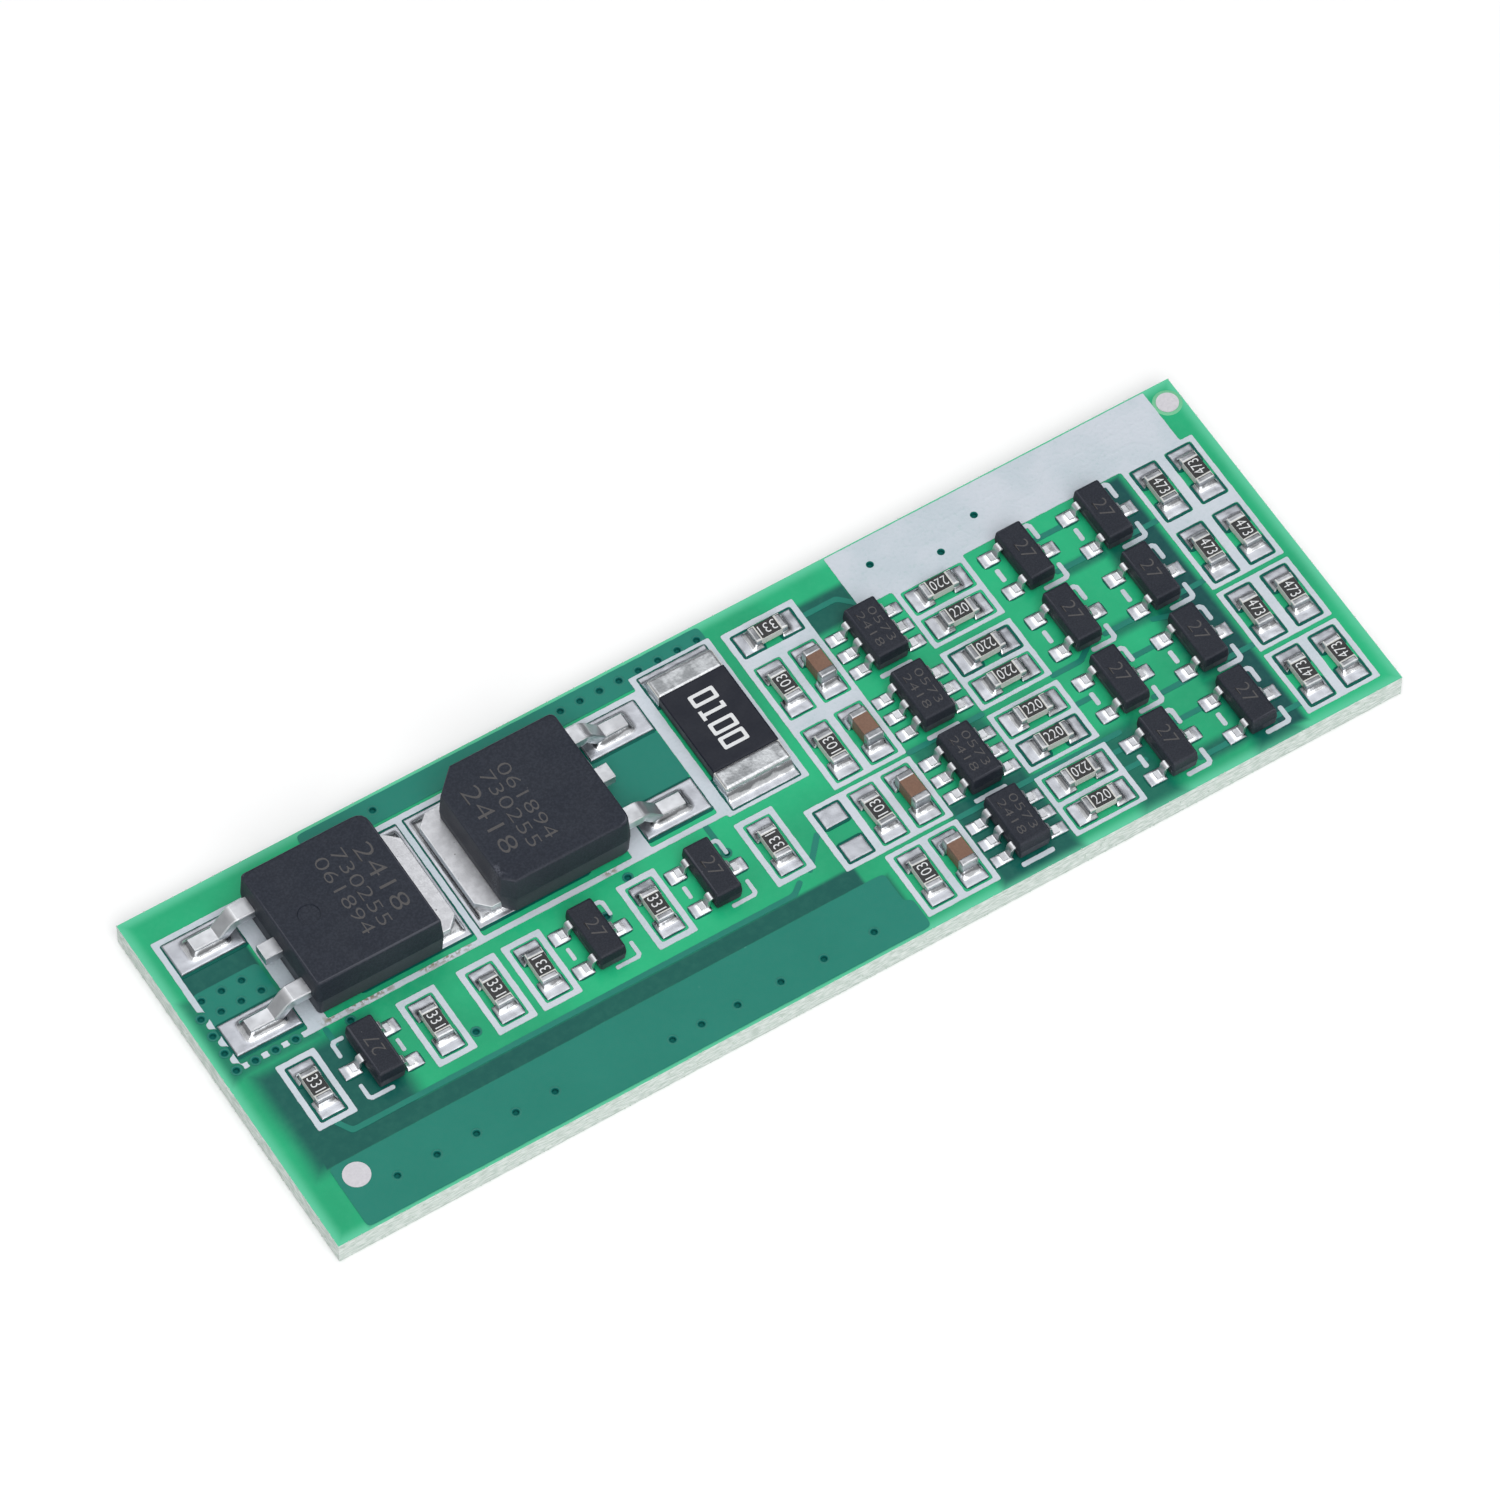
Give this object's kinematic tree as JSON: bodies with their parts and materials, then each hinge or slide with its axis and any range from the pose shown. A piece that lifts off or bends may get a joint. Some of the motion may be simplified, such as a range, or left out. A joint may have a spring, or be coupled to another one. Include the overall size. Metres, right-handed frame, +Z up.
{
  "type": "battery management board",
  "caption": "Flat rectangular circuit board for a battery pack, with power transistors, a current shunt, protection circuits and rows of chip parts on one side.",
  "frame": {"origin": "middle of the board's underside", "axes": "+X along the board's length from the power transistors to the rows of small parts, +Y across its width to the back edge, +Z up out of the side that carries the parts"},
  "size_m": [0.052, 0.018, 0.0036],
  "materials": {
    "laminate": "green solder mask over woven glass laminate",
    "legend_ink": "screened white ink",
    "tinned_copper": "tinned, slightly uneven",
    "solder": "bright reflowed solder",
    "package_moulding": "dark epoxy moulding, fine matt grain",
    "small_package": "dark epoxy moulding with tinned leads",
    "chip_resistor": "dark film on pale ceramic, tinned ends",
    "chip_capacitor": "brown ceramic, tinned ends",
    "shunt_body": "black coated ceramic"
  },
  "bodies": {
    "root": {"balance_transistor_1": "small_package", "balance_transistor_2": "small_package", "balance_transistor_3": "small_package", "balance_transistor_4": "small_package", "balance_transistor_5": "small_package", "balance_transistor_6": "small_package", "balance_transistor_7": "small_package", "balance_transistor_8": "small_package", "bias_resistor": "chip_resistor", "circuit_board": "laminate", "control_resistor_1": "chip_resistor", "control_resistor_2": "chip_resistor", "control_resistor_3": "chip_resistor", "control_resistor_4": "chip_resistor", "control_resistor_5": "chip_resistor", "control_resistor_6": "chip_resistor", "control_transistor_1": "small_package", "control_transistor_2": "small_package", "control_transistor_3": "small_package", "fiducial_marks": "tinned_copper", "filter_capacitor_1": "chip_capacitor", "filter_capacitor_2": "chip_capacitor", "filter_capacitor_3": "chip_capacitor", "filter_capacitor_4": "chip_capacitor", "gate_resistor_1": "chip_resistor", "gate_resistor_2": "chip_resistor", "gate_resistor_3": "chip_resistor", "gate_resistor_4": "chip_resistor", "gate_resistor_5": "chip_resistor", "gate_resistor_6": "chip_resistor", "gate_resistor_7": "chip_resistor", "gate_resistor_8": "chip_resistor", "legend_print": "legend_ink", "power_transistor_left_body": "package_moulding", "power_transistor_left_leads": "tinned_copper", "power_transistor_right_body": "package_moulding", "power_transistor_right_leads": "tinned_copper", "protection_ic_1": "small_package", "protection_ic_2": "small_package", "protection_ic_3": "small_package", "protection_ic_4": "small_package", "shunt_resistor_body": "shunt_body", "shunt_resistor_terminals": "tinned_copper", "solder_joints": "solder", "solder_pads": "tinned_copper", "supply_resistor_1": "chip_resistor", "supply_resistor_2": "chip_resistor", "supply_resistor_3": "chip_resistor", "supply_resistor_4": "chip_resistor", "terminal_pads": "tinned_copper", "threshold_resistor_1": "chip_resistor", "threshold_resistor_2": "chip_resistor", "threshold_resistor_3": "chip_resistor", "threshold_resistor_4": "chip_resistor", "threshold_resistor_5": "chip_resistor", "threshold_resistor_6": "chip_resistor", "threshold_resistor_7": "chip_resistor", "threshold_resistor_8": "chip_resistor"}
  },
  "joints": []
}
